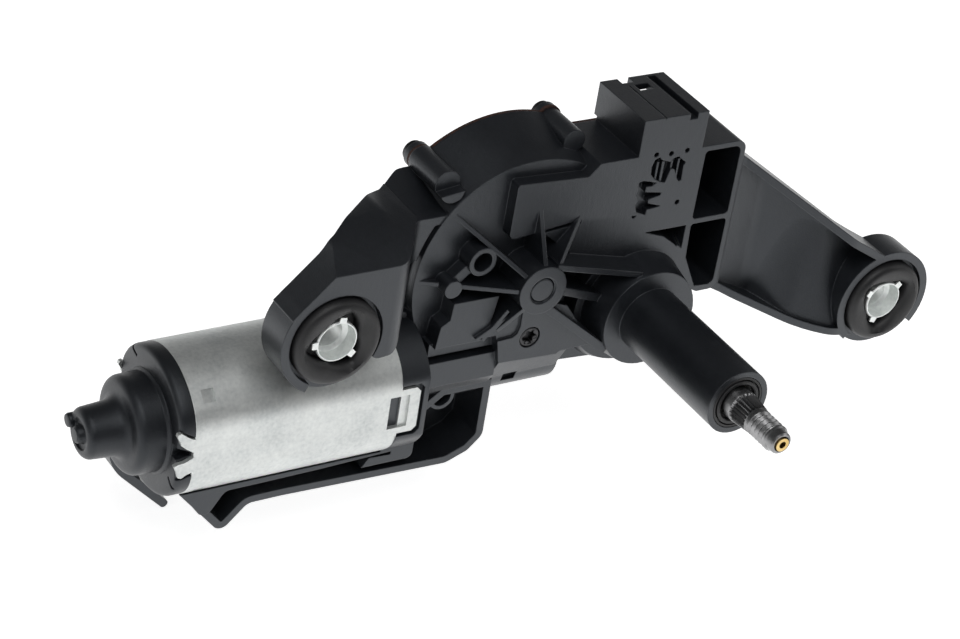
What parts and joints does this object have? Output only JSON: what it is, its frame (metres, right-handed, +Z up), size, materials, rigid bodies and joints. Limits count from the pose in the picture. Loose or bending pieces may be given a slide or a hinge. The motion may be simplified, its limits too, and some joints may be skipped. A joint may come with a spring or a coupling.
{
  "type": "rear wiper motor",
  "caption": "Rear window wiper motor: round steel can driving a worm gear case of black plastic with a splined output spindle, three rubber-mounted arms and a washer jet.",
  "frame": {"origin": "on the output spindle's axis, where its tube leaves the collar of the gear housing", "axes": "-Y along the spindle towards its threaded end, +X along the motor axis away from the motor can, +Z up towards the connector"},
  "size_m": [0.2761, 0.1239, 0.129],
  "materials": {
    "housing_plastic": "fine grained satin",
    "gasket": "matte",
    "steel": "satin",
    "lamination": "matte",
    "copper": "enamelled",
    "bronze": "sintered",
    "rubber": "matte",
    "brass": "machined",
    "board": "satin",
    "board_part": "satin",
    "zinc": "mottled zinc",
    "ferrite": "matte",
    "wheel_plastic": "satin",
    "sinter": "satin",
    "carbon": "matte"
  },
  "bodies": {
    "frame": {"board_parts": "board_part", "brush_holder": "housing_plastic", "brush_springs": "steel", "brushes": "carbon", "circuit_board": "board", "connector_pins": "brass", "cover_gasket": "gasket", "cover_screws": "steel", "end_bearing": "bronze", "end_cap": "housing_plastic", "gear_housing": "housing_plastic", "grommet_left": "rubber", "grommet_low": "rubber", "grommet_right": "rubber", "magnet_lower": "ferrite", "magnet_upper": "ferrite", "mid_bearing": "bronze", "motor_can": "zinc", "nose_bearing": "bronze", "platform_screw": "steel", "rear_cover": "housing_plastic", "sleeve_left": "zinc", "sleeve_low": "zinc", "sleeve_right": "zinc", "spindle_bush_front": "bronze", "spindle_bush_rear": "bronze", "spindle_seal": "rubber", "washer_jet": "brass", "washer_nipple": "housing_plastic", "wheel_clip": "steel", "wheel_pin": "steel"},
    "wheel": {"worm_wheel": "wheel_plastic", "transfer_gear": "sinter"},
    "spindle": {"output_spindle": "steel", "spindle_gear": "sinter"},
    "armature": {"armature_shaft": "steel", "armature_core": "lamination", "armature_windings": "copper", "commutator": "copper"}
  },
  "joints": [
    {"name": "wheel_turn", "type": "hinge", "parent": "frame", "child": "wheel", "pos_m": [-0.0388, 0, 0.01607], "axis": [0, 1, 0], "range_deg": [-55, 55]},
    {"name": "spindle_turn", "type": "hinge", "parent": "frame", "child": "spindle", "pos_m": [0, 0, 0], "axis": [0, 1, 0], "range_deg": [-55, 55]},
    {"name": "armature_turn", "type": "hinge", "parent": "frame", "child": "armature", "pos_m": [0, 0.021, -0.01623], "axis": [1, 0, 0], "range_deg": [-3080, 3080]}
  ],
  "couplings": [
    {"joint": "spindle_turn", "follows": "wheel_turn", "ratio": -1},
    {"joint": "armature_turn", "follows": "wheel_turn", "ratio": 56}
  ]
}
